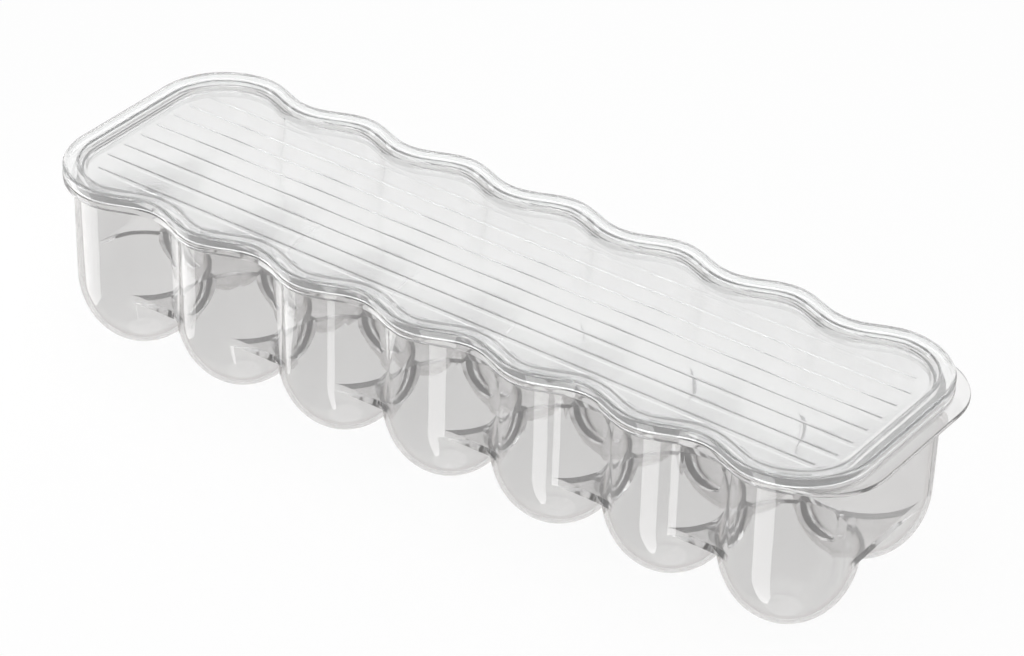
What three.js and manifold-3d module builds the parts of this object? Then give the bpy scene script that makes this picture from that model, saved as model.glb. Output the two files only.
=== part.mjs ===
// Egg storage box: a clear moulded tray with two rows of egg cups, under a lift-off lid.
// Millimetres, +Z up. X runs along the rows, with the finger lip at the +X end.
// z = 0 is the surface that the cups stand on, and the origin is the middle of the footprint.

import * as THREE from 'three';
import { mergeVertices } from 'three/addons/utils/BufferGeometryUtils.js';
import Module from 'manifold-3d';

const wasm = await Module();
wasm.setup();

// Cups
const rowCount = 2;
const cupsPerRow = 7;
const cupPitch = 49.74;
const cupRadius = 25.9; // outside, where the cup meets the web
const cupDepth = 29.2; // from the foot to the underside of the web
const footRadius = 7;
const wall = 1.9;
const bridgeRadius = 11.3; // half-round filling of the notch between two cups

// Web and wall
const webThickness = 2.5;
const wallHeight = 44.6; // from the underside of the web to the top of the flange
const wallLean = 0.5; // the wall stands this much further out at its top
const valleyInset = 4.05; // a valley panel lies this far behind the crest of a bulge

// Flange and lip
const flangeThickness = 3;
const flangeChamfer = 0.8;
const rimOverhang = 3.95; // from the crest of the wall to the edge of the flange and lid
const valleyOverhang = 1.2; // the same at a valley panel
const lipThickness = 1.8;
const lipReach = 6.6; // the finger lip beyond the lid
const lipCornerRadius = 27.5;
const lipCornerSteps = 6;

// Lid
const lidGap = 0.3; // between the flange and the lid that rests on it
const rimHeight = 4.3;
const rimChamfer = 0.9;
const rimBandWidth = 6.6;
const ledgeFall = 1.9; // from the top of the rim to its inner ledge
const ledgeSlope = 0.6;
const ledgeDroop = 0.4;
const recessDepth = 4.3; // from the top of the rim to the panel
const recessSlope = 0.6;
const plugClearance = 1.85; // between the plug and the tray's wall at the ends and crests
const plugTaper = 0.5;
const plugShoulder = 0.5; // the plug's widest line lies this far above the panel

// Ribs on the lid
const ribCount = 8;
const ribPitch = 9.83;
const ribWidth = 1.4;
const ribHeight = 0.5;
const ribEndInset = 4; // from the end of the panel to the ends of the ribs
const outerRibShortening = 3.5;

// Facets
const cupSegments = 20;
const cupRings = 5;
const bridgeSegments = 8;
const cornerSteps = 6;
const waveSteps = 8; // facets along one wave
const overrun = 1; // cutting solids pass through the faces they cut by this much

const rowOffset = (cupPitch * (rowCount - 1)) / 2;
const endAxis = (cupPitch * (cupsPerRow - 1)) / 2;
const webTop = cupDepth + webThickness;
const flangeTop = cupDepth + wallHeight;
const bridgeLength = cupPitch - cupRadius; // both ends lie inside the hollow cups
const rimRadius = cupRadius + wallLean + rimOverhang;
const waveDepth = valleyInset + rimOverhang - valleyOverhang;
const lidBottom = flangeTop + lidGap;
const rimTop = lidBottom + rimHeight;
const panelTop = rimTop - recessDepth;
const plugInset = rimOverhang + wall + plugClearance;
const panelInset = plugInset + wall;
const panelHalfLength = endAxis + rimRadius - panelInset;

function cupAxes() {
  const axes = [];
  for (let row = 0; row < rowCount; row += 1) {
    for (let place = 0; place < cupsPerRow; place += 1) {
      axes.push(new THREE.Vector2(place * cupPitch - endAxis, row * cupPitch - rowOffset));
    }
  }
  return axes;
}

// A closed solid from a geometry, joined at its shared corners.
function solidOf(geometry) {
  const bare = geometry.clone();
  bare.deleteAttribute('normal');
  bare.deleteAttribute('uv');
  const merged = mergeVertices(bare);
  const corners = merged.index.array;
  const triangles = [];
  for (let i = 0; i < corners.length; i += 3) {
    const [a, b, c] = corners.slice(i, i + 3);
    if (a !== b && b !== c && c !== a) triangles.push(a, b, c);
  }
  return new wasm.Manifold(new wasm.Mesh({
    numProp: 3,
    vertProperties: new Float32Array(merged.attributes.position.array),
    triVerts: new Uint32Array(triangles),
  }));
}

function joined(solids) {
  return solids.reduce((whole, next) => whole.add(next));
}

// A solid through a stack of outlines with as many points each, closed at its first and last one.
function stackOfOutlines(outlines) {
  const count = outlines[0].points.length;
  const places = [];
  for (const { points, height } of outlines) {
    for (const point of points) places.push(point.x, point.y, height);
  }
  const faces = [];
  for (let level = 0; level + 1 < outlines.length; level += 1) {
    for (let i = 0; i < count; i += 1) {
      const next = (i + 1) % count;
      const low = level * count;
      const high = low + count;
      faces.push(low + i, low + next, high + next);
      faces.push(low + i, high + next, high + i);
    }
  }
  const top = (outlines.length - 1) * count;
  for (const [a, b, c] of THREE.ShapeUtils.triangulateShape(outlines[0].points, [])) faces.push(a, c, b);
  for (const [a, b, c] of THREE.ShapeUtils.triangulateShape(outlines.at(-1).points, [])) {
    faces.push(top + a, top + b, top + c);
  }
  const geometry = new THREE.BufferGeometry();
  geometry.setAttribute('position', new THREE.Float32BufferAttribute(places, 3));
  geometry.setIndex(faces);
  return solidOf(geometry);
}

function rectangle(halfLength, halfWidth) {
  return [
    new THREE.Vector2(halfLength, -halfWidth),
    new THREE.Vector2(halfLength, halfWidth),
    new THREE.Vector2(-halfLength, halfWidth),
    new THREE.Vector2(-halfLength, -halfWidth),
  ];
}

// The wavy outline of flange and lid: a bulge at each cup, and a round corner about each end cup.
function rimOutline(inset) {
  const radius = rimRadius - inset;
  const side = [];
  for (let i = 0; i <= cornerSteps; i += 1) {
    const angle = ((i / cornerSteps) * Math.PI) / 2;
    side.push([endAxis + radius * Math.cos(angle), rowOffset + radius * Math.sin(angle)]);
  }
  const steps = (cupsPerRow - 1) * waveSteps;
  for (let i = 1; i < steps; i += 1) {
    const phase = (i / waveSteps) * 2 * Math.PI;
    const dip = (waveDepth / 2) * (1 - Math.cos(phase));
    side.push([endAxis - (i * cupPitch) / waveSteps, rowOffset + radius - dip]);
  }
  for (let i = cornerSteps; i >= 0; i -= 1) {
    const angle = ((i / cornerSteps) * Math.PI) / 2;
    side.push([-endAxis - radius * Math.cos(angle), rowOffset + radius * Math.sin(angle)]);
  }
  const farSide = side.map(([x, y]) => new THREE.Vector2(x, y));
  const nearSide = side.map(([x, y]) => new THREE.Vector2(-x, -y));
  return [...farSide, ...nearSide];
}

// A cup with the wall above it as one round column, from its foot to the given top.
// The radius grows by an ellipse up to the web, and then by the wall's lean.
function column(radius, foot, floor, top) {
  const depth = cupDepth - floor;
  const fullDepth = depth / Math.sqrt(1 - (foot / radius) ** 2);
  const lean = (wallLean * (top - cupDepth)) / wallHeight;
  const profile = [new THREE.Vector2(0, floor)];
  for (let i = 0; i <= cupRings; i += 1) {
    const startAngle = Math.asin(foot / radius);
    const angle = startAngle + (i / cupRings) * (Math.PI / 2 - startAngle);
    profile.push(new THREE.Vector2(radius * Math.sin(angle), cupDepth - fullDepth * Math.cos(angle)));
  }
  profile.push(new THREE.Vector2(radius + lean, top));
  profile.push(new THREE.Vector2(0, top));
  const geometry = new THREE.LatheGeometry(profile, cupSegments);
  geometry.rotateX(Math.PI / 2);
  return solidOf(geometry);
}

// The whole body of cups and wall, as a full block: drawn in by a wall's thickness it is the hollow.
function trayBody(inset, floor, webLevel, top) {
  const radius = cupRadius - inset;
  const cup = column(radius, footRadius, floor, top);
  const columns = cupAxes().map((axis) => cup.translate([axis.x, axis.y, 0]));
  const leanAt = (height) => (wallLean * (height - cupDepth)) / wallHeight;
  const sideReach = rowOffset + radius - valleyInset;
  const endReach = endAxis + radius;
  const sideBlock = stackOfOutlines([webLevel, top].map((height) => (
    { points: rectangle(endAxis, sideReach + leanAt(height)), height }
  )));
  const endBlock = stackOfOutlines([webLevel, top].map((height) => (
    { points: rectangle(endReach + leanAt(height), rowOffset), height }
  )));
  return joined([...columns, sideBlock, endBlock]);
}

// Half-round bridges in the notches under the web, along the rows and across them.
function bridges() {
  const section = new THREE.Shape();
  section.moveTo(-bridgeRadius, webThickness / 2);
  section.lineTo(-bridgeRadius, 0);
  section.absarc(0, 0, bridgeRadius, Math.PI, 2 * Math.PI, false);
  section.lineTo(bridgeRadius, webThickness / 2);
  const geometry = new THREE.ExtrudeGeometry(section, {
    depth: bridgeLength, bevelEnabled: false, curveSegments: bridgeSegments,
  });
  geometry.translate(0, 0, -bridgeLength / 2);
  geometry.rotateX(Math.PI / 2);
  const across = solidOf(geometry);
  const along = across.rotate([0, 0, 90]);
  const all = [];
  for (const { x, y } of cupAxes()) {
    if (x < endAxis - cupPitch / 2) all.push(along.translate([x + cupPitch / 2, y, cupDepth]));
    if (y < rowOffset - cupPitch / 2) all.push(across.translate([x, y + cupPitch / 2, cupDepth]));
  }
  return joined(all);
}

function flange() {
  const bottom = flangeTop - flangeThickness;
  return stackOfOutlines([
    { points: rimOutline(flangeChamfer), height: bottom },
    { points: rimOutline(0), height: bottom + flangeChamfer },
    { points: rimOutline(0), height: flangeTop },
  ]);
}

// The finger lip: a straight edge beyond the lid's end. Its round corners leave the flange's on a tangent.
function lip() {
  const centreX = endAxis + rimRadius + lipReach - lipCornerRadius;
  const tangentAngle = Math.acos((rimRadius - lipCornerRadius) / (centreX - endAxis));
  const pointAt = (axisX, radius, angle) => (
    [axisX + radius * Math.cos(angle), rowOffset + radius * Math.sin(angle)]
  );
  const outlineAt = (inset) => {
    const edge = [];
    for (let i = 0; i <= lipCornerSteps; i += 1) {
      edge.push(pointAt(centreX, lipCornerRadius - inset, (i / lipCornerSteps) * tangentAngle));
    }
    edge.push(pointAt(endAxis, rimRadius - inset, tangentAngle));
    edge.push([endAxis, edge.at(-1)[1]]);
    const far = edge.map(([x, y]) => new THREE.Vector2(x, y));
    const near = edge.map(([x, y]) => new THREE.Vector2(x, -y)).reverse();
    return [...near, ...far];
  };
  const bottom = flangeTop - lipThickness;
  return stackOfOutlines([
    { points: outlineAt(flangeChamfer), height: bottom },
    { points: outlineAt(0), height: bottom + flangeChamfer },
    { points: outlineAt(0), height: flangeTop },
  ]);
}

function eggTray() {
  const outside = joined([trayBody(0, 0, cupDepth, flangeTop), bridges(), flange(), lip()]);
  return outside.subtract(trayBody(wall, wall, webTop, flangeTop + overrun));
}

function lidShell() {
  const ledge = rimTop - ledgeFall;
  const shoulderInset = plugInset - plugTaper;
  const channelTop = rimTop - wall;
  const channelInset = rimBandWidth + ledgeSlope - wall;
  const profile = [
    [plugInset, panelTop - wall],
    [shoulderInset, panelTop + plugShoulder],
    [channelInset, channelTop],
    [wall, channelTop],
    [wall, lidBottom],
    [0, lidBottom],
    [0, rimTop - rimChamfer],
    [rimChamfer, rimTop],
    [rimBandWidth, rimTop],
    [rimBandWidth + ledgeSlope, ledge],
    [panelInset - recessSlope, ledge - ledgeDroop],
    [panelInset, panelTop],
  ];
  return stackOfOutlines(profile.map(([inset, height]) => ({ points: rimOutline(inset), height })));
}

// Fine ribs along the panel, the two outermost ones shorter, where the panel's corners are round.
function ribs() {
  const all = [];
  for (let i = 0; i < ribCount; i += 1) {
    const outermost = i === 0 || i === ribCount - 1;
    const halfLength = panelHalfLength - ribEndInset - (outermost ? outerRibShortening : 0);
    const foot = { points: rectangle(halfLength, ribWidth / 2), height: panelTop - wall / 2 };
    const base = { points: rectangle(halfLength, ribWidth / 2), height: panelTop };
    const crest = { points: rectangle(halfLength - ribHeight, ribWidth / 4), height: panelTop + ribHeight };
    const place = (i - (ribCount - 1) / 2) * ribPitch;
    all.push(stackOfOutlines([foot, base, crest]).translate([0, place, 0]));
  }
  return joined(all);
}

function meshOf(name, solid, material) {
  const { vertProperties, triVerts } = solid.getMesh();
  const geometry = new THREE.BufferGeometry();
  geometry.setAttribute('position', new THREE.BufferAttribute(new Float32Array(vertProperties), 3));
  geometry.setIndex(new THREE.BufferAttribute(new Uint32Array(triVerts), 1));
  geometry.computeVertexNormals();
  const mesh = new THREE.Mesh(geometry, material);
  mesh.name = name;
  return mesh;
}

const trayPlastic = new THREE.MeshStandardMaterial({
  color: 0xd2d2d0, roughness: 0.06, metalness: 0, transparent: true, opacity: 0.35,
});
const lidPlastic = new THREE.MeshStandardMaterial({
  color: 0xe2e4e3, roughness: 0.08, metalness: 0, transparent: true, opacity: 0.35,
});

const eggBox = new THREE.Group();
eggBox.add(meshOf('egg_tray', eggTray(), trayPlastic));
eggBox.add(meshOf('lid', joined([lidShell(), ribs()]), lidPlastic));
eggBox.position.x = -lipReach / 2;

export default eggBox;
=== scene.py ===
# Looks of the clear egg storage box: a wavy tray of egg cups under a ribbed lift-off lid.
# Everything is in metres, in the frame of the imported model: +Z up, the finger lip at +X.

import math

import bpy
from mathutils import Matrix, Vector


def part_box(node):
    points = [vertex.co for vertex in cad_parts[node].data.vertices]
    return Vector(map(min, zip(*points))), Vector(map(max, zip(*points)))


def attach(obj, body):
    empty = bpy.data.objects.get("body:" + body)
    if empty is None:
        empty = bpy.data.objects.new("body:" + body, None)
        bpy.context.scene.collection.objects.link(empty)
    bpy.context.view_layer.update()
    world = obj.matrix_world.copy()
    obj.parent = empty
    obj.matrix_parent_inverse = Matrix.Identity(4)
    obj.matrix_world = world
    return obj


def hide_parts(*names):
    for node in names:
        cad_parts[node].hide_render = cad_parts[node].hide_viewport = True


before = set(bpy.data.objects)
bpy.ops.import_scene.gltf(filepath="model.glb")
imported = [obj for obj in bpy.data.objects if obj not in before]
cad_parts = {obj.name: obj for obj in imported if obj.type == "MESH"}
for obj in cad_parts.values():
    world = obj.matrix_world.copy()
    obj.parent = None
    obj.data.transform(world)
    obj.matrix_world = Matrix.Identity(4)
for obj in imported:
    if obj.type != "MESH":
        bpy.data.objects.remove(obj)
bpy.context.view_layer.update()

MM = 0.001

# Cups
ROWS = 2
CUPS_PER_ROW = 7
PITCH = 49.74 * MM
CUP_RADIUS = 25.9 * MM  # outside, where the cup meets the web
CUP_DEPTH = 29.2 * MM  # from the foot to the underside of the web
FOOT_RADIUS = 7 * MM
WALL = 1.9 * MM
BRIDGE_RADIUS = 11.3 * MM

# Web and wall
WEB_THICKNESS = 2.5 * MM
WALL_LEAN = 0.5 * MM
VALLEY_INSET = 4.05 * MM
VALLEY_FILLET = 12 * MM  # where a bulge of the wall runs into a valley, on the outside

# Flange and finger lip
FLANGE_THICKNESS = 3 * MM
FLANGE_ROUND = 0.8 * MM
VALLEY_OVERHANG = 1.2 * MM
LIP_THICKNESS = 1.8 * MM
LIP_ROUND = 0.5 * MM
LIP_CORNER_RADIUS = 27.5 * MM

# Lid
LID_GAP = 0.3 * MM  # between the flange and the lid that rests on it
RIM_ROUND = 1.6 * MM
RIM_CORNER = 0.3 * MM  # the rim's small inner and lower edges
RIM_BAND_WIDTH = 6.6 * MM
LEDGE_FALL = 1.9 * MM
LEDGE_SLOPE = 0.6 * MM
LEDGE_DROOP = 0.4 * MM
RECESS_DEPTH = 4.3 * MM
RECESS_SLOPE = 0.6 * MM
PLUG_CLEARANCE = 1.85 * MM
PLUG_TAPER = 0.5 * MM
PLUG_SHOULDER = 0.5 * MM
PLUG_CORNER_WIDTH = 1 * MM
PLUG_CORNER_HEIGHT = 0.3 * MM

# Ribs on the lid
RIB_COUNT = 8
RIB_PITCH = 9.83 * MM
RIB_HALF_WIDTH = 0.9 * MM
RIB_HALF_THICKNESS = 0.5 * MM
RIB_HEIGHT = 0.25 * MM
RIB_END_INSET = 4 * MM
OUTER_RIB_SHORTENING = 3.5 * MM

# Steps of the fine surfaces
CUP_SEGMENTS = 96
CUP_RINGS = 18
WAVE_STEPS = 40
CORNER_STEPS = 24
ROUND_STEPS = 5
FILLET_STEPS = 8
BRIDGE_STEPS = 48
OVERRUN = 1 * MM

# Plastic
REFRACTION = 1.45
RIPPLE_DEPTH = 0.4 * MM
SHADOW_PASS = 0.9  # the share of a lamp's light that one surface lets through

# Light
PHOTO_AZIMUTH = 0.60546  # radians from -Y towards +X: where the photographer stands
CAMERA_SIDE = 0.7
BACKDROP = 1.0
OVERHEAD = 0.85
ROOM_LIGHT = 0.5
SHADOW_SHARE = 0.15
TABLE_EDGE = -56 * MM  # in front of it the plastic shows no floor
GLARE_BEARING = 216.5  # degrees from -Y towards +X: the bright middle of the backdrop
GLARE_LEVEL = 0.7

TRAY_LOW, TRAY_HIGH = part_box("egg_tray")
LID_LOW, LID_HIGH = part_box("lid")
FLANGE_TOP = TRAY_HIGH.z
RIM_TOP = LID_HIGH.z
CENTRE_X = (LID_LOW.x + LID_HIGH.x) / 2
ROW_OFFSET = PITCH * (ROWS - 1) / 2
END_AXIS = PITCH * (CUPS_PER_ROW - 1) / 2
RIM_RADIUS = LID_HIGH.x - CENTRE_X - END_AXIS
RIM_OVERHANG = RIM_RADIUS - CUP_RADIUS - WALL_LEAN
WAVE_DEPTH = VALLEY_INSET + RIM_OVERHANG - VALLEY_OVERHANG
WEB_TOP = CUP_DEPTH + WEB_THICKNESS
LID_BOTTOM = FLANGE_TOP + LID_GAP
PANEL_TOP = RIM_TOP - RECESS_DEPTH
PLUG_INSET = RIM_OVERHANG + WALL + PLUG_CLEARANCE
PANEL_INSET = PLUG_INSET + WALL
LIP_END = TRAY_HIGH.x - CENTRE_X


def link(name, mesh):
    obj = bpy.data.objects.new(name, mesh)
    bpy.context.scene.collection.objects.link(obj)
    return obj


def mesh_of(name, places, faces):
    mesh = bpy.data.meshes.new(name)
    mesh.from_pydata(places, [], faces)
    mesh.update()
    return mesh


def baked(obj):
    """The object's modifiers turned into its plain mesh."""
    bpy.context.view_layer.update()
    graph = bpy.context.evaluated_depsgraph_get()
    mesh = bpy.data.meshes.new_from_object(obj.evaluated_get(graph))
    obj.modifiers.clear()
    obj.data = mesh
    return obj


def combine(obj, tools, operation):
    """Joins the tools to obj or cuts them from it, and deletes them."""
    for tool in tools:
        cut = obj.modifiers.new("combine", "BOOLEAN")
        cut.operation = operation
        cut.solver = "MANIFOLD"
        cut.object = tool
        baked(obj)
        bpy.data.objects.remove(tool)
    return obj


def turned(name, profile):
    """A round solid from (radius, height) points that start and end on the axis."""
    places = []
    rings = []
    for radius, height in profile:
        count = CUP_SEGMENTS if radius > 0 else 1
        rings.append(range(len(places), len(places) + count))
        for i in range(count):
            angle = 2 * math.pi * i / CUP_SEGMENTS
            places.append((radius * math.cos(angle), radius * math.sin(angle), height))
    faces = []
    for low, high in zip(rings, rings[1:]):
        for i in range(CUP_SEGMENTS):
            j = (i + 1) % CUP_SEGMENTS
            corners = [low[i % len(low)], low[j % len(low)], high[j % len(high)], high[i % len(high)]]
            faces.append(list(dict.fromkeys(corners)))
    return link(name, mesh_of(name, places, faces))


def stacked(name, outlines):
    """A solid through outlines with as many points each, closed at the first and the last."""
    count = len(outlines[0])
    places = [place for outline in outlines for place in outline]
    faces = [list(range(count))[::-1]]
    for level in range(len(outlines) - 1):
        low = level * count
        high = low + count
        for i in range(count):
            j = (i + 1) % count
            faces.append([low + i, low + j, high + j, high + i])
    faces.append(list(range(len(places) - count, len(places))))
    return link(name, mesh_of(name, places, faces))


def quarter(radius_x, radius_z, start, end):
    """Points of an elliptic arc, as (x, z) offsets from its centre, from one angle to another."""
    points = []
    for i in range(ROUND_STEPS + 1):
        angle = math.radians(start + (end - start) * i / ROUND_STEPS)
        points.append((radius_x * math.cos(angle), radius_z * math.sin(angle)))
    return points


def rim_outline(inset, height):
    """The wavy outline of flange and lid: a bulge at each cup, a round corner about each end cup."""
    radius = RIM_RADIUS - inset
    side = []
    for i in range(CORNER_STEPS + 1):
        angle = math.pi / 2 * i / CORNER_STEPS
        side.append((END_AXIS + radius * math.cos(angle), ROW_OFFSET + radius * math.sin(angle)))
    for i in range(1, (CUPS_PER_ROW - 1) * WAVE_STEPS):
        dip = WAVE_DEPTH / 2 * (1 - math.cos(2 * math.pi * i / WAVE_STEPS))
        side.append((END_AXIS - PITCH * i / WAVE_STEPS, ROW_OFFSET + radius - dip))
    for i in range(CORNER_STEPS, -1, -1):
        angle = math.pi / 2 * i / CORNER_STEPS
        side.append((-END_AXIS - radius * math.cos(angle), ROW_OFFSET + radius * math.sin(angle)))
    return [(x, y, height) for x, y in side] + [(-x, -y, height) for x, y in side]


def cup_pattern():
    """Geometry nodes that set one column on the grid of cups and join what overlaps."""
    tree = bpy.data.node_groups.new("cup_pattern", "GeometryNodeTree")
    face = tree.interface
    face.new_socket("Column", in_out="INPUT", socket_type="NodeSocketGeometry")
    face.new_socket("Cups per row", in_out="INPUT", socket_type="NodeSocketInt")
    face.new_socket("Rows", in_out="INPUT", socket_type="NodeSocketInt")
    face.new_socket("Row length", in_out="INPUT", socket_type="NodeSocketFloat")
    face.new_socket("Row spacing", in_out="INPUT", socket_type="NodeSocketFloat")
    face.new_socket("Plastic", in_out="INPUT", socket_type="NodeSocketMaterial")
    face.new_socket("Cups", in_out="OUTPUT", socket_type="NodeSocketGeometry")
    start = tree.nodes.new("NodeGroupInput")
    end = tree.nodes.new("NodeGroupOutput")
    grid = tree.nodes.new("GeometryNodeMeshGrid")
    place = tree.nodes.new("GeometryNodeInstanceOnPoints")
    join = tree.nodes.new("GeometryNodeMeshBoolean")
    join.operation = "UNION"
    join.solver = "MANIFOLD"
    real = tree.nodes.new("GeometryNodeRealizeInstances")
    paint = tree.nodes.new("GeometryNodeSetMaterial")
    link_up = tree.links.new
    link_up(start.outputs["Cups per row"], grid.inputs["Vertices X"])
    link_up(start.outputs["Rows"], grid.inputs["Vertices Y"])
    link_up(start.outputs["Row length"], grid.inputs["Size X"])
    link_up(start.outputs["Row spacing"], grid.inputs["Size Y"])
    link_up(grid.outputs["Mesh"], place.inputs["Points"])
    link_up(start.outputs["Column"], place.inputs["Instance"])
    link_up(place.outputs["Instances"], join.inputs["Mesh 2"])
    link_up(join.outputs["Mesh"], real.inputs["Geometry"])
    link_up(real.outputs["Geometry"], paint.inputs["Geometry"])
    link_up(start.outputs["Plastic"], paint.inputs["Material"])
    link_up(paint.outputs["Geometry"], end.inputs["Cups"])
    return tree


def set_inputs(modifier, values):
    for item in modifier.node_group.interface.items_tree:
        if item.in_out == "INPUT" and item.name in values:
            modifier[item.identifier] = values[item.name]


def lean(height):
    """How much further out the wall stands at a height than at the underside of the web."""
    return WALL_LEAN * (height - CUP_DEPTH) / (FLANGE_TOP - CUP_DEPTH)


def bowl(name, radius, floor, top):
    """A cup as a full round block, from its foot to the given top."""
    depth = CUP_DEPTH - floor
    full_depth = depth / math.sqrt(1 - (FOOT_RADIUS / radius) ** 2)
    first = math.asin(FOOT_RADIUS / radius)
    profile = [(0, floor)]
    for i in range(CUP_RINGS + 1):
        angle = first + (math.pi / 2 - first) * i / CUP_RINGS
        profile.append((radius * math.sin(angle), CUP_DEPTH - full_depth * math.cos(angle)))
    if top > CUP_DEPTH:
        profile.append((radius + lean(top), top))
    profile.append((0, top + OVERRUN))
    return turned(name, profile)


def arc(centre, radius, angles):
    """Points of a circle at the given angles, in degrees."""
    points = []
    for angle in angles:
        turn = math.radians(angle)
        points.append((centre[0] + radius * math.cos(turn), centre[1] + radius * math.sin(turn)))
    return points


def fillet_place(radius, fillet):
    """Where a hollow fillet's centre lies from a cup's axis, and the angle at which they meet."""
    rise = radius - VALLEY_INSET + fillet
    run = math.sqrt((radius + fillet) ** 2 - rise ** 2)
    return run, rise, math.degrees(math.atan2(rise, run))


def wall_outline(inset, height):
    """The outline of the wall: a bulge at each cup, run into flat valleys by hollow fillets."""
    radius = CUP_RADIUS + lean(height) - inset
    fillet = VALLEY_FILLET + inset
    run, rise, swing = fillet_place(radius, fillet)
    step = 360 / CUP_SEGMENTS
    spare = fillet_place(CUP_RADIUS - inset, fillet)[2] + step / 2
    leaving = [-90 + (90 - swing) * (1 - i / FILLET_STEPS) for i in range(1, FILLET_STEPS + 1)]
    reaching = [-180 - angle for angle in leaving[::-1]]
    side = []
    for place in range(CUPS_PER_ROW - 1, -1, -1):
        x = place * PITCH - END_AXIS
        low, start = (0, 0) if place == CUPS_PER_ROW - 1 else (spare, swing)
        high, end = (180, 180) if place == 0 else (180 - spare, 180 - swing)
        between = [i * step for i in range(CUP_SEGMENTS // 2 + 1) if low < i * step < high]
        side += arc((x, ROW_OFFSET), radius, [start] + between + [end])
        if place > 0:
            side += arc((x - run, ROW_OFFSET + rise), fillet, leaving)
            side += arc((x - PITCH + run, ROW_OFFSET + rise), fillet, reaching)
    return [(x, y, height) for x, y in side] + [(-x, -y, height) for x, y in side]


def tray_body(name, inset, floor, web_level, top, pattern, plastic):
    """Cups and wall as a full block: drawn in by the wall's thickness it is the hollow."""
    body = bowl(name, CUP_RADIUS - inset, floor, web_level)
    cups = body.modifiers.new("cups", "NODES")
    cups.node_group = pattern
    set_inputs(cups, {
        "Cups per row": CUPS_PER_ROW, "Rows": ROWS, "Row length": 2 * END_AXIS,
        "Row spacing": 2 * ROW_OFFSET, "Plastic": plastic,
    })
    baked(body)
    walls = stacked("walls", [wall_outline(inset, height) for height in (web_level, top)])
    return combine(body, [walls], "UNION")


def bridges():
    """Half-round bridges in the notches between neighbouring cups, under the web."""
    half = (PITCH - CUP_RADIUS) / 2
    section = [(-BRIDGE_RADIUS, WEB_THICKNESS / 2)]
    for i in range(BRIDGE_STEPS + 1):
        angle = math.pi + math.pi * i / BRIDGE_STEPS
        section.append((BRIDGE_RADIUS * math.cos(angle), BRIDGE_RADIUS * math.sin(angle)))
    section.append((BRIDGE_RADIUS, WEB_THICKNESS / 2))
    rods = []
    for row in range(ROWS):
        for place in range(CUPS_PER_ROW):
            x = place * PITCH - END_AXIS
            y = row * PITCH - ROW_OFFSET
            if place + 1 < CUPS_PER_ROW:
                middle = x + PITCH / 2
                rods.append(stacked("along", [
                    [(middle + dx, y + s, CUP_DEPTH + z) for s, z in section] for dx in (-half, half)
                ]))
            if row + 1 < ROWS:
                middle = y + PITCH / 2
                rods.append(stacked("across", [
                    [(x - s, middle + dy, CUP_DEPTH + z) for s, z in section] for dy in (-half, half)
                ]))
    return rods


def flange():
    bottom = FLANGE_TOP - FLANGE_THICKNESS
    r = FLANGE_ROUND
    profile = [(r - x, bottom + r + z) for x, z in quarter(r, r, -90, 0)]
    profile += [(r / 2 - x, FLANGE_TOP - r / 2 + z) for x, z in quarter(r / 2, r / 2, 0, 90)]
    return stacked("flange", [rim_outline(inset, height) for inset, height in profile])


def lip_outline(inset, height):
    """The finger lip's outline: its round corners leave the flange's on a common tangent."""
    centre_x = LIP_END - LIP_CORNER_RADIUS
    tangent_angle = math.acos((RIM_RADIUS - LIP_CORNER_RADIUS) / (centre_x - END_AXIS))
    far = []
    for i in range(CORNER_STEPS + 1):
        angle = tangent_angle * i / CORNER_STEPS
        radius = LIP_CORNER_RADIUS - inset
        far.append((centre_x + radius * math.cos(angle), ROW_OFFSET + radius * math.sin(angle)))
    root_y = ROW_OFFSET + (RIM_RADIUS - inset) * math.sin(tangent_angle)
    far.append((END_AXIS + (RIM_RADIUS - inset) * math.cos(tangent_angle), root_y))
    far.append((END_AXIS, root_y))
    near = [(x, -y) for x, y in reversed(far)]
    return [(x, y, height) for x, y in near + far]


def lip():
    bottom = FLANGE_TOP - LIP_THICKNESS
    r = LIP_ROUND
    profile = [(r - x, bottom + r + z) for x, z in quarter(r, r, -90, 0)]
    profile += [(r - x, FLANGE_TOP - r + z) for x, z in quarter(r, r, 0, 90)]
    return stacked("lip", [lip_outline(inset, height) for inset, height in profile])


def smooth(obj, angle):
    """Smooth shading, with the edges sharper than the angle kept."""
    mesh = obj.data
    mesh.polygons.foreach_set("use_smooth", [True] * len(mesh.polygons))
    mesh.set_sharp_from_angle(angle=math.radians(angle))
    mesh.update()


def shifted(obj, offset):
    obj.data.transform(Matrix.Translation(offset))
    return obj


def egg_tray(plastic):
    pattern = cup_pattern()
    outside = tray_body("tray_moulding", 0, 0, CUP_DEPTH, FLANGE_TOP, pattern, plastic)
    combine(outside, bridges() + [flange(), lip()], "UNION")
    inside = tray_body("hollow", WALL, WALL, WEB_TOP, FLANGE_TOP + OVERRUN, pattern, plastic)
    combine(outside, [inside], "DIFFERENCE")
    return outside


def lid_profile():
    """The lid's section as (inset from the outline, height), from its underside to its panel."""
    ledge = RIM_TOP - LEDGE_FALL
    channel_top = RIM_TOP - WALL
    channel_inset = RIM_BAND_WIDTH + LEDGE_SLOPE - WALL
    profile = [
        (PLUG_INSET + PLUG_CORNER_WIDTH, PANEL_TOP - WALL),
        (PLUG_INSET, PANEL_TOP - WALL + PLUG_CORNER_HEIGHT),
        (PLUG_INSET - PLUG_TAPER, PANEL_TOP + PLUG_SHOULDER),
        (channel_inset, channel_top),
        (WALL, channel_top),
        (WALL, LID_BOTTOM),
        (RIM_CORNER, LID_BOTTOM),
    ]
    r = RIM_ROUND
    profile += [(r - x, RIM_TOP - r + z) for x, z in quarter(r, r, 0, 90)]
    profile += [
        (RIM_BAND_WIDTH - RIM_CORNER, RIM_TOP),
        (RIM_BAND_WIDTH + LEDGE_SLOPE, ledge),
        (PANEL_INSET - RECESS_SLOPE, ledge - LEDGE_DROOP),
        (PANEL_INSET, PANEL_TOP),
    ]
    return profile


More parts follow.
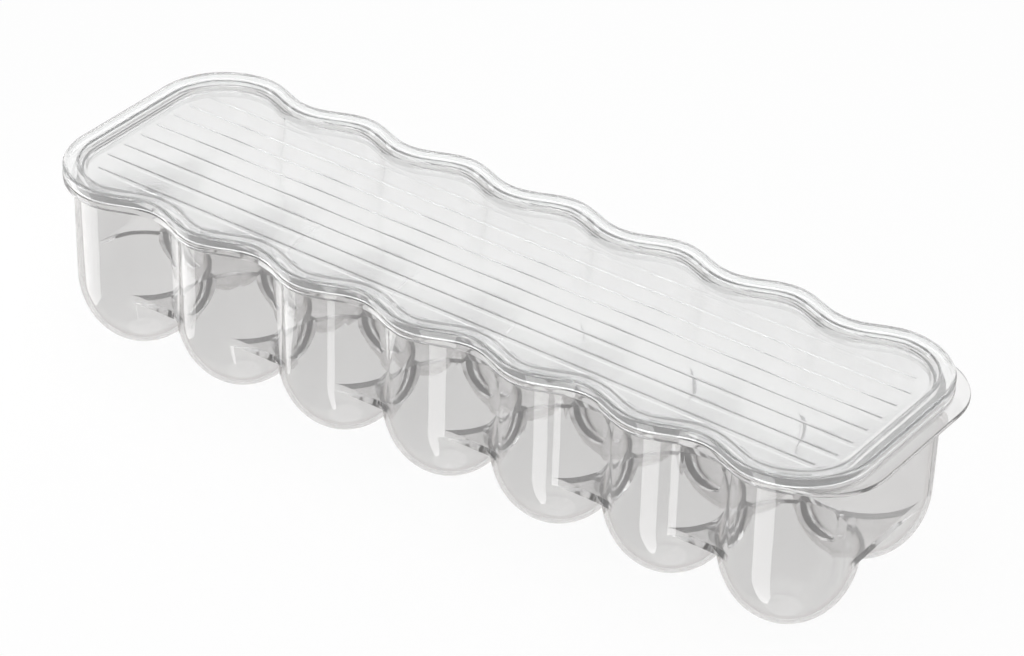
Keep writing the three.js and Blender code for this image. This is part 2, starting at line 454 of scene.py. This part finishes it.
def rib_pattern():
    """Geometry nodes that set ribs side by side on the panel, the outermost ones shorter."""
    tree = bpy.data.node_groups.new("rib_pattern", "GeometryNodeTree")
    face = tree.interface
    face.new_socket("Lid", in_out="INPUT", socket_type="NodeSocketGeometry")
    face.new_socket("Count", in_out="INPUT", socket_type="NodeSocketInt")
    sizes = ("Spacing", "Half length", "Shortening", "Half width", "Half thickness", "Height of axis")
    for name in sizes:
        face.new_socket(name, in_out="INPUT", socket_type="NodeSocketFloat")
    face.new_socket("Plastic", in_out="INPUT", socket_type="NodeSocketMaterial")
    face.new_socket("Ribbed lid", in_out="OUTPUT", socket_type="NodeSocketGeometry")
    nodes = tree.nodes
    link_up = tree.links.new
    start = nodes.new("NodeGroupInput")
    end = nodes.new("NodeGroupOutput")

    def maths(operation, first, second):
        node = nodes.new("ShaderNodeMath")
        node.operation = operation
        for socket, value in zip(node.inputs, (first, second)):
            if isinstance(value, (int, float)):
                socket.default_value = value
            else:
                link_up(value, socket)
        return node.outputs[0]

    def vector(x, y, z):
        node = nodes.new("ShaderNodeCombineXYZ")
        for socket, value in zip(node.inputs, (x, y, z)):
            if isinstance(value, (int, float)):
                socket.default_value = value
            else:
                link_up(value, socket)
        return node.outputs[0]

    count = start.outputs["Count"]
    last = maths("SUBTRACT", count, 1)
    first_y = maths("MULTIPLY", maths("MULTIPLY", last, start.outputs["Spacing"]), -0.5)
    row = nodes.new("GeometryNodeMeshLine")
    row.mode = "OFFSET"
    link_up(count, row.inputs["Count"])
    link_up(vector(0, first_y, start.outputs["Height of axis"]), row.inputs["Start Location"])
    link_up(vector(0, start.outputs["Spacing"], 0), row.inputs["Offset"])

    def bars(half_length, chosen):
        line = nodes.new("GeometryNodeCurvePrimitiveLine")
        link_up(vector(maths("MULTIPLY", half_length, -1), 0, 0), line.inputs["Start"])
        link_up(vector(half_length, 0, 0), line.inputs["End"])
        ring = nodes.new("GeometryNodeCurvePrimitiveCircle")
        ring.inputs["Resolution"].default_value = 32
        ring.inputs["Radius"].default_value = 1
        oval = nodes.new("GeometryNodeTransform")
        stretch = vector(start.outputs["Half width"], start.outputs["Half thickness"], 1)
        link_up(stretch, oval.inputs["Scale"])
        link_up(ring.outputs["Curve"], oval.inputs["Geometry"])
        bar = nodes.new("GeometryNodeCurveToMesh")
        bar.inputs["Fill Caps"].default_value = True
        link_up(line.outputs["Curve"], bar.inputs["Curve"])
        link_up(oval.outputs["Geometry"], bar.inputs["Profile Curve"])
        place = nodes.new("GeometryNodeInstanceOnPoints")
        link_up(row.outputs["Mesh"], place.inputs["Points"])
        link_up(bar.outputs["Mesh"], place.inputs["Instance"])
        link_up(chosen, place.inputs["Selection"])
        return place.outputs["Instances"]

    index = nodes.new("GeometryNodeInputIndex").outputs["Index"]
    is_first = maths("LESS_THAN", index, 0.5)
    is_last = maths("GREATER_THAN", index, maths("SUBTRACT", last, 0.5))
    outer = maths("ADD", is_first, is_last)
    inner = maths("SUBTRACT", 1, outer)
    long_bars = bars(start.outputs["Half length"], inner)
    short_half = maths("SUBTRACT", start.outputs["Half length"], start.outputs["Shortening"])
    short_bars = bars(short_half, outer)
    join = nodes.new("GeometryNodeMeshBoolean")
    join.operation = "UNION"
    join.solver = "MANIFOLD"
    for source in (start.outputs["Lid"], long_bars, short_bars):
        link_up(source, join.inputs["Mesh 2"])
    real = nodes.new("GeometryNodeRealizeInstances")
    paint = nodes.new("GeometryNodeSetMaterial")
    link_up(join.outputs["Mesh"], real.inputs["Geometry"])
    link_up(real.outputs["Geometry"], paint.inputs["Geometry"])
    link_up(start.outputs["Plastic"], paint.inputs["Material"])
    link_up(paint.outputs["Geometry"], end.inputs["Ribbed lid"])
    return tree


def lid(plastic):
    cover = stacked("lid_moulding", [rim_outline(inset, height) for inset, height in lid_profile()])
    ribs = cover.modifiers.new("ribs", "NODES")
    ribs.node_group = rib_pattern()
    set_inputs(ribs, {
        "Count": RIB_COUNT, "Spacing": RIB_PITCH,
        "Half length": END_AXIS + RIM_RADIUS - PANEL_INSET - RIB_END_INSET,
        "Shortening": OUTER_RIB_SHORTENING, "Half width": RIB_HALF_WIDTH,
        "Half thickness": RIB_HALF_THICKNESS,
        "Height of axis": PANEL_TOP + RIB_HEIGHT - RIB_HALF_THICKNESS,
        "Plastic": plastic,
    })
    return baked(cover)


def clear_plastic(name, tint, painted_edge_shade, clearness, roughness, waviness):
    """Clear moulded plastic: a little haze, painted shade that darkens its colour towards its grazing
    edges, and light that passes its shadow.
    """
    material = bpy.data.materials.new(name)
    material.use_nodes = True
    nodes = material.node_tree.nodes
    link_up = material.node_tree.links.new
    shader = nodes["Principled BSDF"]
    # Painted shade: towards grazing angles the base colour turns from the tint to the darker edge colour,
    # standing in for the dark edges that the surroundings give the plastic.
    edges = nodes.new("ShaderNodeLayerWeight")
    edges.inputs["Blend"].default_value = 0.5
    depth = nodes.new("ShaderNodeMapRange")
    depth.inputs["From Min"].default_value = 0.55
    depth.inputs["From Max"].default_value = 0.95
    colour = nodes.new("ShaderNodeMix")
    colour.data_type = "RGBA"
    colour.inputs["A"].default_value = (*tint, 1)
    colour.inputs["B"].default_value = (*painted_edge_shade, 1)
    link_up(edges.outputs["Facing"], depth.inputs["Value"])
    link_up(depth.outputs["Result"], colour.inputs["Factor"])
    link_up(colour.outputs["Result"], shader.inputs["Base Color"])
    shader.inputs["IOR"].default_value = REFRACTION
    shader.inputs["Transmission Weight"].default_value = clearness
    places = nodes.new("ShaderNodeTexCoord")
    ripple = nodes.new("ShaderNodeTexNoise")
    ripple.inputs["Scale"].default_value = 60
    ripple.inputs["Detail"].default_value = 2
    bump = nodes.new("ShaderNodeBump")
    bump.inputs["Strength"].default_value = waviness
    bump.inputs["Distance"].default_value = RIPPLE_DEPTH
    link_up(places.outputs["Object"], ripple.inputs["Vector"])
    link_up(ripple.outputs["Fac"], bump.inputs["Height"])
    link_up(bump.outputs["Normal"], shader.inputs["Normal"])
    smears = nodes.new("ShaderNodeTexNoise")
    smears.inputs["Scale"].default_value = 25
    smears.inputs["Detail"].default_value = 4
    gloss = nodes.new("ShaderNodeMapRange")
    gloss.inputs["To Min"].default_value = roughness / 2
    gloss.inputs["To Max"].default_value = roughness * 2
    link_up(places.outputs["Object"], smears.inputs["Vector"])
    link_up(smears.outputs["Fac"], gloss.inputs["Value"])
    link_up(gloss.outputs["Result"], shader.inputs["Roughness"])
    through = nodes.new("ShaderNodeBsdfTransparent")
    through.inputs["Color"].default_value = (SHADOW_PASS, SHADOW_PASS, SHADOW_PASS, 1)
    rays = nodes.new("ShaderNodeLightPath")
    mix = nodes.new("ShaderNodeMixShader")
    link_up(rays.outputs["Is Shadow Ray"], mix.inputs["Fac"])
    link_up(shader.outputs["BSDF"], mix.inputs[1])
    link_up(through.outputs["BSDF"], mix.inputs[2])
    link_up(mix.outputs["Shader"], nodes["Material Output"].inputs["Surface"])
    return material


def seen_rays(nodes, link_up):
    """One for what the camera sees, also through the plastic or in its gloss, and nothing for the rest."""
    rays = nodes.new("ShaderNodeLightPath")
    total = rays.outputs["Is Camera Ray"]
    for name in ("Is Glossy Ray", "Is Transmission Ray"):
        either = nodes.new("ShaderNodeMath")
        either.operation = "MAXIMUM"
        link_up(total, either.inputs[0])
        link_up(rays.outputs[name], either.inputs[1])
        total = either.outputs[0]
    return total


def pale_floor():
    """A floor that shows as white and takes a share of the object's shadow.

    For what the plastic shows it ends at a table edge in front, with the softboxes behind that edge.
    """
    reach = 4
    floor = link("floor", mesh_of("floor", [
        (-reach, -reach, 0), (reach, -reach, 0), (reach, reach, 0), (-reach, reach, 0),
    ], [(0, 1, 2, 3)]))
    material = bpy.data.materials.new("floor_white")
    material.use_nodes = True
    nodes = material.node_tree.nodes
    link_up = material.node_tree.links.new
    nodes.remove(nodes["Principled BSDF"])
    matt = nodes.new("ShaderNodeBsdfDiffuse")
    matt.inputs["Color"].default_value = (0.9, 0.9, 0.9, 1)
    glow = nodes.new("ShaderNodeEmission")
    glow.inputs["Strength"].default_value = 1.04
    shown = nodes.new("ShaderNodeMath")
    shown.operation = "MULTIPLY"
    shown.inputs[1].default_value = 1 - SHADOW_SHARE
    seen = seen_rays(nodes, link_up)
    mix = nodes.new("ShaderNodeMixShader")
    link_up(seen, shown.inputs[0])
    link_up(shown.outputs[0], mix.inputs["Fac"])
    link_up(matt.outputs["BSDF"], mix.inputs[1])
    link_up(glow.outputs["Emission"], mix.inputs[2])
    places = nodes.new("ShaderNodeTexCoord")
    apart = nodes.new("ShaderNodeSeparateXYZ")
    link_up(places.outputs["Object"], apart.inputs[0])
    front = nodes.new("ShaderNodeMath")
    front.operation = "LESS_THAN"
    front.inputs[1].default_value = TABLE_EDGE
    link_up(apart.outputs["Y"], front.inputs[0])
    rays = nodes.new("ShaderNodeLightPath")
    not_camera = nodes.new("ShaderNodeMath")
    not_camera.operation = "SUBTRACT"
    link_up(seen, not_camera.inputs[0])
    link_up(rays.outputs["Is Camera Ray"], not_camera.inputs[1])
    open_part = nodes.new("ShaderNodeMath")
    open_part.operation = "MULTIPLY"
    link_up(front.outputs[0], open_part.inputs[0])
    link_up(not_camera.outputs[0], open_part.inputs[1])
    clear = nodes.new("ShaderNodeBsdfTransparent")
    table = nodes.new("ShaderNodeMixShader")
    link_up(open_part.outputs[0], table.inputs["Fac"])
    link_up(mix.outputs["Shader"], table.inputs[1])
    link_up(clear.outputs["BSDF"], table.inputs[2])
    link_up(table.outputs["Shader"], nodes["Material Output"].inputs["Surface"])
    floor.data.materials.append(material)


def studio_world():
    """A white backdrop, dimmer behind the camera and overhead, with a soft glare on its far side.

    The plastic shows it, the camera sees plain white, and other rays meet one even level.
    """
    world = bpy.data.worlds.new("studio")
    bpy.context.scene.world = world
    world.use_nodes = True
    nodes = world.node_tree.nodes
    link_up = world.node_tree.links.new

    def maths(operation, *values):
        node = nodes.new("ShaderNodeMath")
        node.operation = operation
        for socket, value in zip(node.inputs, values):
            if isinstance(value, (int, float)):
                socket.default_value = value
            else:
                link_up(value, socket)
        return node.outputs[0]

    def ramp(value, low, high, start, end):
        node = nodes.new("ShaderNodeMapRange")
        node.interpolation_type = "SMOOTHSTEP"
        for name, number in zip(("From Min", "From Max", "To Min", "To Max"), (low, high, start, end)):
            node.inputs[name].default_value = number
        link_up(value, node.inputs["Value"])
        return node.outputs["Result"]

    def along(axis):
        node = nodes.new("ShaderNodeVectorMath")
        node.operation = "DOT_PRODUCT"
        node.inputs[1].default_value = axis
        link_up(places.outputs["Generated"], node.inputs[0])
        return node.outputs["Value"]

    places = nodes.new("ShaderNodeTexCoord")
    height = along((0, 0, 1))
    away = along((-math.sin(PHOTO_AZIMUTH), math.cos(PHOTO_AZIMUTH), 0))
    walls = ramp(away, -0.3, 0.6, CAMERA_SIDE, BACKDROP)
    room = maths("MULTIPLY", walls, ramp(height, 0.7, 0.95, 1, OVERHEAD))
    turn = math.radians(GLARE_BEARING)
    ahead = maths("MAXIMUM", along((math.sin(turn), -math.cos(turn), 0)), 0.001)
    side = maths("ABSOLUTE", maths("DIVIDE", along((math.cos(turn), math.sin(turn), 0)), ahead))
    rise = maths("DIVIDE", height, ahead)
    glare = maths("MULTIPLY", ramp(side, 0, 0.9, GLARE_LEVEL, 0), ramp(rise, 0.1, 0.5, 0, 1))
    room = maths("ADD", room, maths("MULTIPLY", glare, ramp(rise, 0.8, 1.4, 1, 0)))
    rays = nodes.new("ShaderNodeLightPath")
    white = nodes.new("ShaderNodeMix")
    link_up(rays.outputs["Is Camera Ray"], white.inputs["Factor"])
    link_up(room, white.inputs["A"])
    white.inputs["B"].default_value = 1
    level = nodes.new("ShaderNodeMix")
    level.inputs["A"].default_value = ROOM_LIGHT
    link_up(seen_rays(nodes, link_up), level.inputs["Factor"])
    link_up(white.outputs["Result"], level.inputs["B"])
    link_up(level.outputs["Result"], nodes["Background"].inputs["Strength"])
    nodes["Background"].inputs["Color"].default_value = (1, 1, 1, 1)


def soft_lamp(name, place, size, power, aim):
    data = bpy.data.lights.new(name, "AREA")
    data.shape = "RECTANGLE"
    data.size, data.size_y = size
    data.energy = power
    lamp = bpy.data.objects.new(name, data)
    bpy.context.scene.collection.objects.link(lamp)
    lamp.location = place
    lamp.rotation_euler = (Vector(aim) - Vector(place)).to_track_quat("-Z", "Y").to_euler()
    lamp.visible_camera = False


def softbox(name, left, right, low, high, radiance):
    """An upright lit panel between two places on the floor plan, facing to the left of its run.

    It shows only as a reflection, neither to the camera nor through the plastic.
    """
    left, right = Vector(left), Vector(right)
    data = bpy.data.lights.new(name, "AREA")
    data.shape = "RECTANGLE"
    data.size = (right - left).length
    data.size_y = high - low
    data.energy = math.pi * radiance * data.size * data.size_y
    lamp = bpy.data.objects.new(name, data)
    bpy.context.scene.collection.objects.link(lamp)
    across = (right - left).normalized()
    turn = Matrix(((across.x, 0, across.y), (across.y, 0, -across.x), (0, 1, 0)))
    middle = (left + right) / 2
    lamp.matrix_world = Matrix.Translation((middle.x, middle.y, (low + high) / 2)) @ turn.to_4x4()
    lamp.visible_camera = False
    lamp.visible_transmission = False


def photo_camera():
    """The photograph's camera: its direction, roll and field were fitted to the lid's ribs."""
    azimuth, elevation, roll = PHOTO_AZIMUTH, 0.57286, 0.03363
    level = math.cos(elevation)
    back = Vector((math.sin(azimuth) * level, -math.cos(azimuth) * level, math.sin(elevation)))
    right = Vector((math.cos(azimuth), math.sin(azimuth), 0))
    up = back.cross(right)
    level_right, level_up = right, up
    right = math.cos(roll) * level_right + math.sin(roll) * level_up
    up = math.cos(roll) * level_up - math.sin(roll) * level_right
    distance, across, along = 1485.26 * MM, 6.974 * MM, -22.065 * MM
    data = bpy.data.cameras.new("camera")
    data.sensor_width = 36
    data.lens = 140.57
    camera = bpy.data.objects.new("camera", data)
    bpy.context.scene.collection.objects.link(camera)
    target = Vector((CENTRE_X, 0, PANEL_TOP))
    place = target + back * distance + right * across + up * along
    turn = Matrix((right, up, back)).transposed()
    camera.matrix_world = Matrix.Translation(place) @ turn.to_4x4()
    bpy.context.scene.camera = camera


photo_camera()
bpy.context.scene.view_settings.view_transform = "Standard"
pale_floor()
studio_world()
soft_lamp("sky_lamp", place=(0, 0, 1.2), size=(1.2, 0.8), power=5, aim=(0, 0, 0))
softbox("front_softbox", left=(-0.005, -0.346), right=(0.217, -0.799), low=-1.0, high=0.0, radiance=4.5)
softbox("end_softbox", left=(-0.33, -0.05), right=(-0.33, -0.243), low=-0.16, high=0.1, radiance=2.6)

tray_plastic = clear_plastic(
    "tray_plastic", tint=(0.85, 0.845, 0.842), painted_edge_shade=(0.45, 0.405, 0.38),
    clearness=0.91, roughness=0.025, waviness=0.1,
)
lid_plastic = clear_plastic(
    "lid_plastic", tint=(0.94, 0.945, 0.945), painted_edge_shade=(0.75, 0.735, 0.725),
    clearness=0.85, roughness=0.025, waviness=0.04,
)

tray_piece = shifted(egg_tray(tray_plastic), (CENTRE_X, 0, 0))
lid_piece = shifted(lid(lid_plastic), (CENTRE_X, 0, 0))
for piece, body, node, finish in (
    (tray_piece, "tray", "egg_tray", "tray_plastic"),
    (lid_piece, "lid", "lid", "lid_plastic"),
):
    smooth(piece, 25)
    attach(piece, body)
    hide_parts(node)
